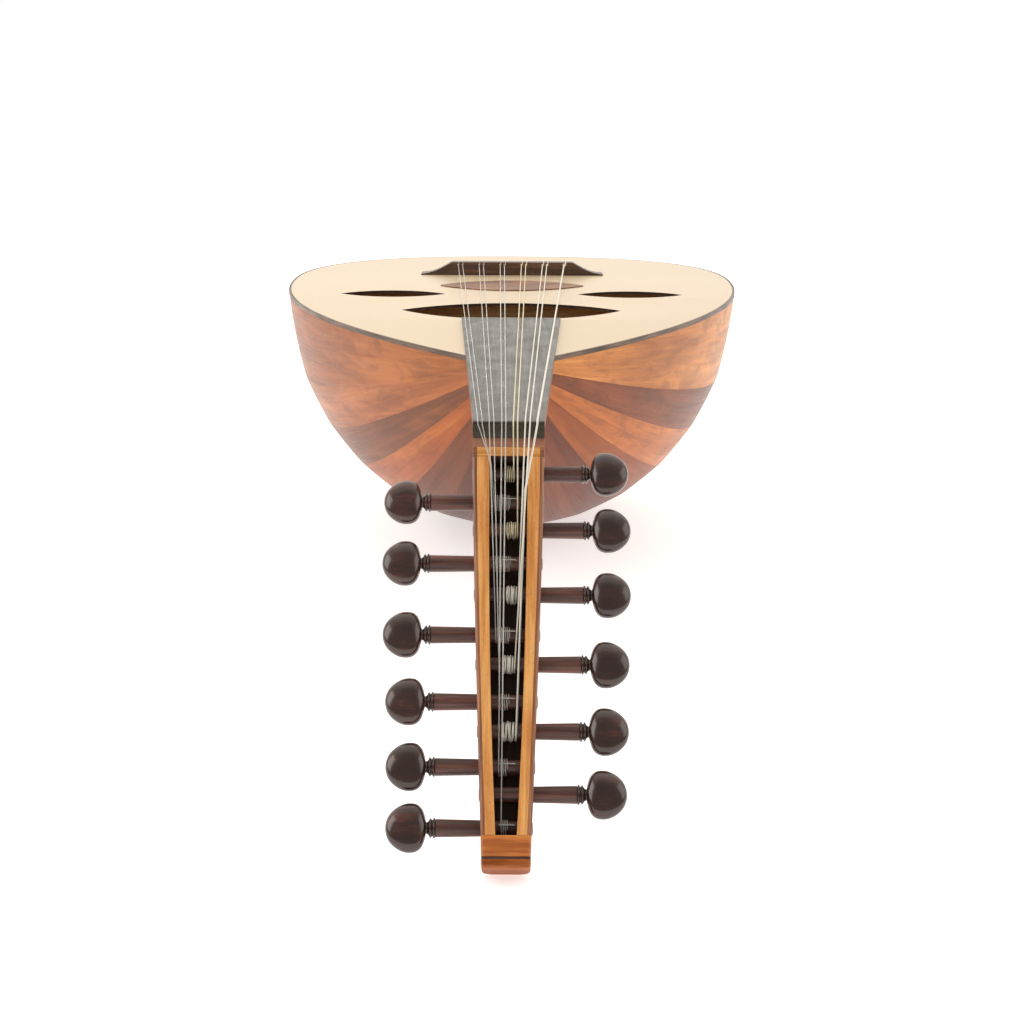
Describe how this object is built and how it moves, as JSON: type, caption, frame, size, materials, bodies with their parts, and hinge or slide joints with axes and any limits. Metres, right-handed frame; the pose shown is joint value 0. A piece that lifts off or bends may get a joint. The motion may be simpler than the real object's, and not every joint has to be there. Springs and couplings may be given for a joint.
{
  "type": "oud",
  "caption": "Short-necked fretless lute with a deep ribbed bowl, almond sound holes, fixed bridge and a bent-back pegbox with turning wooden tuning pegs on both sides.",
  "frame": {"origin": "middle of the bounding box, at the level of the lowest point of the bowl and of the pegbox's end", "axes": "The instrument lies on its back with the soundboard level and facing +Z. +Y runs along the strings from the pegbox to the tail, +X is to the right as seen from the pegbox with the soundboard up"},
  "size_m": [0.358, 0.8386, 0.2043],
  "materials": {
    "soundboard_spruce": "thin satin varnish on pale spruce, fine straight grain along the body",
    "binding_dark_wood": "dark wood edge strip, satin",
    "block_softwood": "bare planed softwood",
    "bowl_walnut_light": "varnished walnut, orange brown",
    "bowl_walnut_dark": "varnished walnut, darker ribs",
    "neck_wood": "varnished dark reddish wood",
    "fingerboard_ebony": "polished ebony",
    "nut_ebony": "polished black nut",
    "pegbox_wood": "golden orange light wood, satin",
    "pegbox_end_wood": "orange brown wood, satin",
    "bridge_rosewood": "dark rosewood, satin",
    "pickguard_veneer": "thin reddish veneer",
    "peg_rosewood": "polished dark rosewood",
    "string_nylon": "clear nylon",
    "string_wound": "metal wound on nylon"
  },
  "bodies": {
    "instrument": {"soundboard": "soundboard_spruce", "rim_binding": "binding_dark_wood", "neck_block": "block_softwood", "tail_block": "block_softwood", "end_clasp": "bowl_walnut_dark", "neck": "neck_wood", "fingerboard": "fingerboard_ebony", "nut": "nut_ebony", "pegbox_wall_left": "pegbox_wood", "pegbox_wall_right": "pegbox_wood", "pegbox_head_block": "pegbox_wood", "pegbox_end_block": "pegbox_end_wood", "pegbox_back": "neck_wood", "end_inlay": "binding_dark_wood", "end_cap": "pegbox_end_wood", "bridge": "bridge_rosewood", "pickguard": "pickguard_veneer", "rib_01_side_right": "bowl_walnut_light", "rib_02": "bowl_walnut_dark", "rib_03": "bowl_walnut_light", "rib_04": "bowl_walnut_dark", "rib_05": "bowl_walnut_light", "rib_06": "bowl_walnut_dark", "rib_07": "bowl_walnut_light", "rib_08": "bowl_walnut_dark", "rib_09": "bowl_walnut_light", "rib_10": "bowl_walnut_dark", "rib_11": "bowl_walnut_light", "rib_12": "bowl_walnut_dark", "rib_13_side_left": "bowl_walnut_light", "brace_1": "block_softwood", "brace_2": "block_softwood", "brace_3": "block_softwood", "brace_4": "block_softwood", "brace_5": "block_softwood", "brace_6": "block_softwood", "brace_7": "block_softwood", "string_01": "string_nylon", "string_02": "string_nylon", "string_03": "string_nylon", "string_04": "string_nylon", "string_05": "string_nylon", "string_06": "string_nylon", "string_07": "string_wound", "string_08": "string_wound", "string_09": "string_wound", "string_10": "string_wound", "string_11": "string_wound"},
    "peg_right_1": {"peg_right_1": "peg_rosewood"},
    "peg_right_2": {"peg_right_2": "peg_rosewood"},
    "peg_right_3": {"peg_right_3": "peg_rosewood"},
    "peg_right_4": {"peg_right_4": "peg_rosewood"},
    "peg_right_5": {"peg_right_5": "peg_rosewood"},
    "peg_right_6": {"peg_right_6": "peg_rosewood"},
    "peg_left_1": {"peg_left_1": "peg_rosewood"},
    "peg_left_2": {"peg_left_2": "peg_rosewood"},
    "peg_left_3": {"peg_left_3": "peg_rosewood"},
    "peg_left_4": {"peg_left_4": "peg_rosewood"},
    "peg_left_5": {"peg_left_5": "peg_rosewood"},
    "peg_left_6": {"peg_left_6": "peg_rosewood"}
  },
  "joints": [
    {"name": "peg_right_1_turn", "type": "hinge", "parent": "instrument", "child": "peg_right_1", "pos_m": [0, -0.28272, 0.16756], "axis": [1, 0, 0], "continuous": true},
    {"name": "peg_right_2_turn", "type": "hinge", "parent": "instrument", "child": "peg_right_2", "pos_m": [0, -0.30258, 0.1426], "axis": [1, 0, 0], "continuous": true},
    {"name": "peg_right_3_turn", "type": "hinge", "parent": "instrument", "child": "peg_right_3", "pos_m": [0, -0.32468, 0.11481], "axis": [1, 0, 0], "continuous": true},
    {"name": "peg_right_4_turn", "type": "hinge", "parent": "instrument", "child": "peg_right_4", "pos_m": [0, -0.34771, 0.08586], "axis": [1, 0, 0], "continuous": true},
    {"name": "peg_right_5_turn", "type": "hinge", "parent": "instrument", "child": "peg_right_5", "pos_m": [0, -0.36919, 0.05886], "axis": [1, 0, 0], "continuous": true},
    {"name": "peg_right_6_turn", "type": "hinge", "parent": "instrument", "child": "peg_right_6", "pos_m": [0, -0.3888, 0.0342], "axis": [1, 0, 0], "continuous": true},
    {"name": "peg_left_1_turn", "type": "hinge", "parent": "instrument", "child": "peg_left_1", "pos_m": [0, -0.29293, 0.15473], "axis": [-1, 0, 0], "continuous": true},
    {"name": "peg_left_2_turn", "type": "hinge", "parent": "instrument", "child": "peg_left_2", "pos_m": [0, -0.31409, 0.12812], "axis": [-1, 0, 0], "continuous": true},
    {"name": "peg_left_3_turn", "type": "hinge", "parent": "instrument", "child": "peg_left_3", "pos_m": [0, -0.33806, 0.09799], "axis": [-1, 0, 0], "continuous": true},
    {"name": "peg_left_4_turn", "type": "hinge", "parent": "instrument", "child": "peg_left_4", "pos_m": [0, -0.35985, 0.0706], "axis": [-1, 0, 0], "continuous": true},
    {"name": "peg_left_5_turn", "type": "hinge", "parent": "instrument", "child": "peg_left_5", "pos_m": [0, -0.38039, 0.04477], "axis": [-1, 0, 0], "continuous": true},
    {"name": "peg_left_6_turn", "type": "hinge", "parent": "instrument", "child": "peg_left_6", "pos_m": [0, -0.39913, 0.02121], "axis": [-1, 0, 0], "continuous": true}
  ]
}
